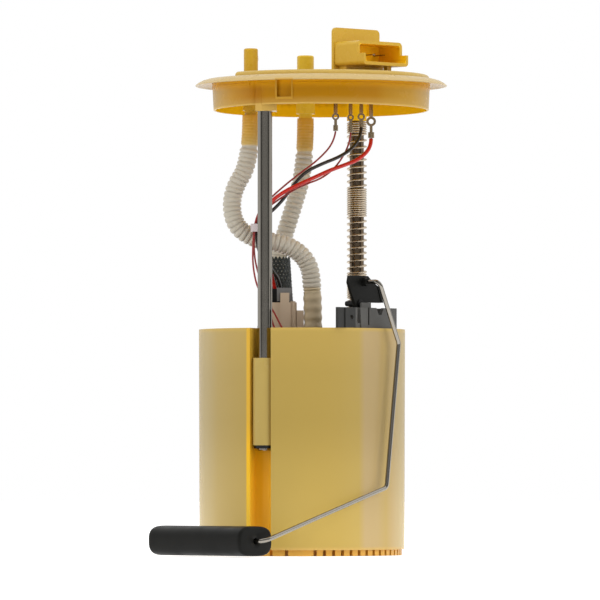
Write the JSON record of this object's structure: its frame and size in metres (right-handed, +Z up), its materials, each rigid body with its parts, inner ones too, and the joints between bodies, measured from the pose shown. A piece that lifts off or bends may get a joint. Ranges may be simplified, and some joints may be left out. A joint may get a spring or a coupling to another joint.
{
  "type": "fuel pump module",
  "caption": "In-tank fuel pump module: swirl pot with electric pump, sprung flange on two guide rods, corrugated hoses, wiring and a float level sender.",
  "frame": {"origin": "centre of the pot's foot ring, on the tank floor", "axes": "+Z up along the pot's axis; -Y front, the side the notch and the level sender face; +X right, the side the flange is set off to"},
  "size_m": [0.1643, 0.1795, 0.291],
  "materials": {
    "pot_plastic": "translucent yellowed plastic",
    "foot_plastic": "translucent orange plastic",
    "flange_plastic": "amber plastic",
    "holder_plastic": "beige plastic",
    "inner_plastic": "off-white plastic",
    "black_plastic": "black plastic",
    "sender_plastic": "dark grey plastic",
    "grey_plastic": "grey plastic",
    "clip_plastic": "pale translucent plastic",
    "float_foam": "closed-cell foam rubber",
    "hose_plastic": "cream corrugated plastic",
    "mesh": "braided sleeve",
    "strainer": "fine woven filter",
    "steel": "ground steel",
    "spring_steel": "spring wire",
    "dark_steel": "blackened steel",
    "can_steel": "plated steel can",
    "contact_metal": "tinned brass",
    "magnet": "sintered ferrite",
    "rotor": "laminated core with copper windings",
    "carbon": "carbon",
    "ceramic": "ceramic with printed track",
    "rubber": "moulded rubber",
    "thin_wire": "red insulation",
    "black_wire": "black insulation",
    "red_wire": "red insulation"
  },
  "bodies": {
    "reservoir": {"reservoir_pot": "pot_plastic", "foot_ring": "foot_plastic", "fill_valve": "rubber", "front_guide_sleeve": "pot_plastic", "rear_guide_sleeve": "inner_plastic", "jet_pump": "inner_plastic", "return_riser": "inner_plastic", "inlet_strainer": "strainer", "pump_shell": "can_steel", "pump_inlet_cap": "inner_plastic", "impeller_cover": "inner_plastic", "pump_outlet_cap": "inner_plastic", "pump_magnets": "magnet", "pump_brushes": "carbon", "pump_isolator": "rubber", "pump_holder": "holder_plastic", "outlet_elbow": "holder_plastic", "check_valve_spring": "spring_steel", "pump_plug": "black_plastic", "plug_clip": "grey_plastic", "hose_sleeve": "mesh", "sender_housing": "sender_plastic", "resistor_card": "ceramic", "pivot_pin": "steel", "feed_hose": "hose_plastic", "return_hose": "hose_plastic", "pump_ground_wire": "black_wire", "pump_supply_wire": "red_wire", "sender_signal_wire": "thin_wire", "sender_ground_wire": "thin_wire", "harness_clip": "clip_plastic", "return_spring": "spring_steel"},
    "flange": {"flange_cover": "flange_plastic", "connector_shell": "flange_plastic", "terminal_pins": "contact_metal", "terminal_lugs": "contact_metal", "feed_port": "flange_plastic", "return_port": "flange_plastic", "front_guide_rod": "steel", "rear_guide_rod": "steel", "rod_clips": "dark_steel"},
    "float_arm": {"arm_holder": "black_plastic", "arm_wire": "steel", "wiper_contacts": "contact_metal"},
    "float_body": {"float": "float_foam"},
    "pump_rotor": {"pump_armature": "rotor", "pump_impeller": "black_plastic"},
    "check_valve": {"check_valve_poppet": "rubber"}
  },
  "joints": [
    {"name": "flange_slide", "type": "slide", "parent": "reservoir", "child": "flange", "axis": [0, 0, -1], "range_m": [0, 0.05], "stiffness_N_per_m": 400, "springref_m": -0.03, "deforming": ["return_spring", "feed_hose", "return_hose", "pump_ground_wire", "pump_supply_wire", "sender_signal_wire", "sender_ground_wire", "harness_clip"]},
    {"name": "arm_swing", "type": "hinge", "parent": "reservoir", "child": "float_arm", "pos_m": [0.03055, -0.03804, 0.1383], "axis": [-0.7071, 0.7071, 0], "range_deg": [0, 85]},
    {"name": "float_swivel", "type": "hinge", "parent": "float_arm", "child": "float_body", "pos_m": [-0.04992, -0.07877, 0.0087], "axis": [-0.7071, 0.7071, 0], "range_deg": [-85, 0]},
    {"name": "rotor_spin", "type": "hinge", "parent": "reservoir", "child": "pump_rotor", "pos_m": [-0.004, 0.004, 0.06], "axis": [0, 0, 1], "continuous": true},
    {"name": "valve_lift", "type": "slide", "parent": "reservoir", "child": "check_valve", "axis": [0, 0, 1], "range_m": [0, 0.0015], "stiffness_N_per_m": 50, "springref_m": -0.002, "deforming": ["check_valve_spring"]}
  ],
  "couplings": [
    {"joint": "float_swivel", "follows": "arm_swing", "ratio": -1}
  ]
}
